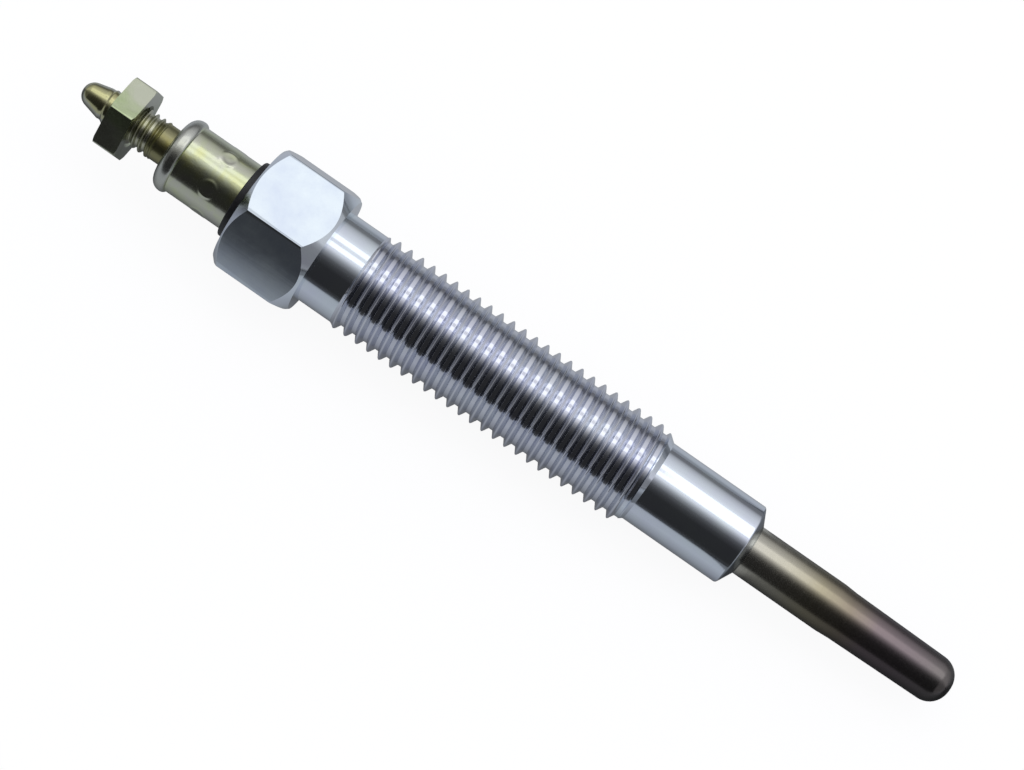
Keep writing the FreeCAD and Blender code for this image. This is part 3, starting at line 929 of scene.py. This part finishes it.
def room():
    """The room that the metal mirrors: dark in front, brighter towards the lamps, grey and dark behind, with
    grey ends and a light sheet on the table round the plug, which has the plug's shadow painted on it as a
    dark strip underneath."""
    bpy.ops.object.select_all(action="DESELECT")
    bpy.ops.mesh.primitive_cylinder_add(
        vertices=96, radius=ROOM_RADIUS * MM, depth=ROOM_LENGTH * MM, end_fill_type="NOTHING")
    walls = bpy.context.object
    walls.name = "room_walls"
    walls.rotation_euler = (0, pi / 2, 0)
    bpy.ops.object.transform_apply(rotation=True)

    def elevation(tree, xyz):
        behind = add(tree, "ShaderNodeMath", {0: xyz[1], 1: -1.0}, operation="MULTIPLY").outputs[0]
        angle = add(tree, "ShaderNodeMath", {0: xyz[2], 1: behind}, operation="ARCTAN2").outputs[0]
        return add(tree, "ShaderNodeMath", {0: angle, 1: pi}, operation="DIVIDE").outputs[0]

    glowing(walls, elevation, [(degree / 180, light) for degree, light in ROOM_LIGHT], ROOM_TINT)

    for name, x, wall_light in (("rear_wall", ROOM_ENDS[0], REAR_WALL_LIGHT),
                                ("front_wall", ROOM_ENDS[1], FRONT_WALL_LIGHT)):
        bpy.ops.object.select_all(action="DESELECT")
        bpy.ops.mesh.primitive_plane_add(size=END_WALL_SIZE * MM, rotation=(0, pi / 2, 0))
        end = bpy.context.object
        end.name = name
        bpy.ops.object.transform_apply(rotation=True)
        end.location = (x * MM, 0, 0)
        glowing(end, elevation, [(degree / 180, light) for degree, light in wall_light], ROOM_TINT)

    def across(tree, xyz):
        return add(tree, "ShaderNodeMapRange", {
            "Value": xyz[1], "From Min": TABLE_SPAN[0] * MM, "From Max": TABLE_SPAN[1] * MM}).outputs[0]

    def sheet_share(tree, xyz):
        # The light sheet ends in front of the pilot, along lines that spread out from the plug, and the
        # table beyond it is darker, though lighter again further off
        off_axis = add(tree, "ShaderNodeMath", {0: xyz[1]}, operation="ABSOLUTE").outputs[0]
        edge = add(tree, "ShaderNodeMath", {
            0: off_axis, 1: TABLE_EDGE_SLANT, 2: TABLE_EDGE_X * MM}, operation="MULTIPLY_ADD").outputs[0]
        beyond = add(tree, "ShaderNodeMath", {0: xyz[0], 1: edge}, operation="SUBTRACT").outputs[0]
        near = add(tree, "ShaderNodeMapRange", {
            "Value": beyond, "From Min": -TABLE_EDGE_SOFTNESS / 2 * MM,
            "From Max": TABLE_EDGE_SOFTNESS / 2 * MM, "To Min": 1.0, "To Max": TABLE_END_SHARE}).outputs[0]
        far = add(tree, "ShaderNodeMapRange", {
            "Value": xyz[0], "From Min": TABLE_FAR_X[0] * MM, "From Max": TABLE_FAR_X[1] * MM,
            "To Min": TABLE_END_SHARE, "To Max": TABLE_FAR_SHARE}).outputs[0]
        return add(tree, "ShaderNodeMath", {0: near, 1: far}, operation="MAXIMUM").outputs[0]

    # The sheet glows and takes no real shadow, so the plug's shadow under it and the pool of light round it
    # are painted in its stops
    width = TABLE_SPAN[1] - TABLE_SPAN[0]
    stops = [((y - TABLE_SPAN[0]) / width, light) for y, light in TABLE_LIGHT_AND_SHADOW]
    table = sheet("table_top", TABLE_TOP_SPAN, TABLE_TOP_SPAN, TABLE_TOP_LIFT)
    glowing(table, across, stops, TABLE_TINT, sheet_share)


def softbox(name, angles, x_range, radiance):
    """A long soft lamp overhead, from one elevation to another, counted up from the camera's side."""
    middle = radians((angles[0] + angles[1]) / 2)
    width = 2 * LAMP_DISTANCE * tan(radians((angles[1] - angles[0]) / 2)) * MM
    length = (x_range[1] - x_range[0]) * MM
    data = bpy.data.lights.new(name, "AREA")
    data.shape = "RECTANGLE"
    data.size = length
    data.size_y = width
    data.energy = radiance * pi * length * width
    lamp = bpy.data.objects.new(name, data)
    bpy.context.scene.collection.objects.link(lamp)
    lamp.rotation_euler = (pi / 2 - middle, 0, 0)
    lamp.location = (
        sum(x_range) / 2 * MM, -LAMP_DISTANCE * MM * cos(middle), LAMP_DISTANCE * MM * sin(middle))


def surroundings():
    """White room light and a soft double lamp overhead, with the room that the metal mirrors."""
    world = bpy.data.worlds.new("room")
    bpy.context.scene.world = world
    world.use_nodes = True
    tree = world.node_tree
    tree.nodes.clear()
    light = add(tree, "ShaderNodeBackground", {"Color": linear("#f4f6ff"), "Strength": 0.75}).outputs[0]
    white = add(tree, "ShaderNodeBackground", {"Color": (1, 1, 1, 1), "Strength": 1.0}).outputs[0]
    mixed = add(tree, "ShaderNodeMixShader", {0: seen_rays(tree), 1: light, 2: white}).outputs[0]
    add(tree, "ShaderNodeOutputWorld", {"Surface": mixed})

    softbox("lamp_front", FRONT_LAMP_ANGLES, LAMP_SPAN, LAMP_RADIANCE)
    softbox("lamp_back", BACK_LAMP_ANGLES, LAMP_SPAN, LAMP_RADIANCE)
    gap_angles = (FRONT_LAMP_ANGLES[1], BACK_LAMP_ANGLES[0])
    rear_span = (LAMP_SPAN[0], GAP_SPAN[0])
    softbox("lamp_between_rear", gap_angles, rear_span, GAP_REAR_SHARE * LAMP_RADIANCE)
    softbox("lamp_between_front", gap_angles, (GAP_SPAN[1], LAMP_SPAN[1]), LAMP_RADIANCE)
    room()


def dress_inner_nodes():
    """The pieces inside the heater keep their CAD shapes and get their real surfaces."""
    # Drawn wire is bright and smooth, packed powder pale and matt, moulded rubber black with a dull skin
    wire = plain_surface(
        "drawn resistance wire", ("#6f6a66", "#7d7873"), (0.3, 0.4), grain_mm=0.1, relief=0.1, Metallic=1.0)
    powder = plain_surface(
        "packed magnesia", ("#dddbd2", "#eeece4"), (0.85, 0.95), grain_mm=0.15, relief=0.5)
    rubber = plain_surface("seal rubber", ("#101011", "#171718"), (0.6, 0.75), grain_mm=0.2, relief=0.2)
    for node_name, material in (("heating_coil", wire), ("control_coil", wire), ("magnesia_fill", powder),
                                ("sheath_seal", rubber), ("o_ring", rubber)):
        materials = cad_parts[node_name].data.materials
        materials.clear()
        materials.append(material)


def main():
    camera()
    zinc = turned_zinc("clear zinc on turned steel", ("#d6dce9", "#dae4e9"))
    # The thread's zinc is tinted a little darker and greyer than the turned zinc: painted shade for its
    # grooves
    thread_zinc_painted_shade = turned_zinc("clear zinc on the thread, darkened as painted shade", ("#ced1de", "#d3d7de"))
    bar = drawn_zinc()
    collar_zinc = yellow_zinc("yellow zinc on the collar", ["#c2c3b6", "#c3c9ab", "#c6c88a"], (0.13, 0.19),
                              COLLAR_RADIUS)
    bead_zinc = yellow_zinc("thin yellow zinc on the bead", ["#b8bab4", "#bdbfb6", "#c2c4b4"], (0.2, 0.28),
                            BEAD_RADIUS)
    stud_zinc = yellow_zinc("yellow zinc on the stud", ["#8c8a6a", "#918d62", "#979154"], (0.27, 0.35),
                            STUD_CREST)
    stud_thread_zinc = yellow_zinc("yellow zinc on the stud's thread", ["#b4b4a0", "#b7b79b", "#bbb993"],
                                   (0.26, 0.34), STUD_CREST)
    nose_zinc = yellow_zinc("bright yellow zinc on the stud's nose", ["#b0b2a6", "#b0b094", "#b6b486"],
                            (0.12, 0.2), STUD_POINT_RADIUS)
    nut_zinc = yellow_zinc("yellow zinc on the nut", ["#bcc0ad", "#afb89a", "#a5b28c"], (0.14, 0.22),
                           NUT_FLATS / 2)
    # Moulded phenolic is black, with a faint gloss and the mould's fine grain
    phenolic = plain_surface(
        "moulded phenolic", ("#0c0d10", "#131518"), (0.4, 0.55), grain_mm=0.4, relief=0.15)

    housing = finished(make_housing(), "clear_zinc_steel", [zinc, bar, thread_zinc_painted_shade], "housing")
    zoned(housing, housing_zone)
    finished(make_sheath(), "heat_tinted_steel", [tinted_sheath()], "sheath_tube")
    rod = finished(make_rod(), "yellow_zinc_steel", [stud_zinc, stud_thread_zinc, nose_zinc], "centre_rod")
    zoned(rod, rod_zone)
    collar = finished(make_round_nut(), "yellow_zinc_steel", [collar_zinc, bead_zinc], "round_nut")
    zoned(collar, collar_zone)
    finished(make_terminal_nut(), "yellow_zinc_steel", [nut_zinc], "terminal_nut")
    finished(make_bush(), "black_phenolic", [phenolic], "insulating_bush")
    dress_inner_nodes()
    floor()
    surroundings()
    bpy.context.scene.view_settings.view_transform = "Standard"


main()
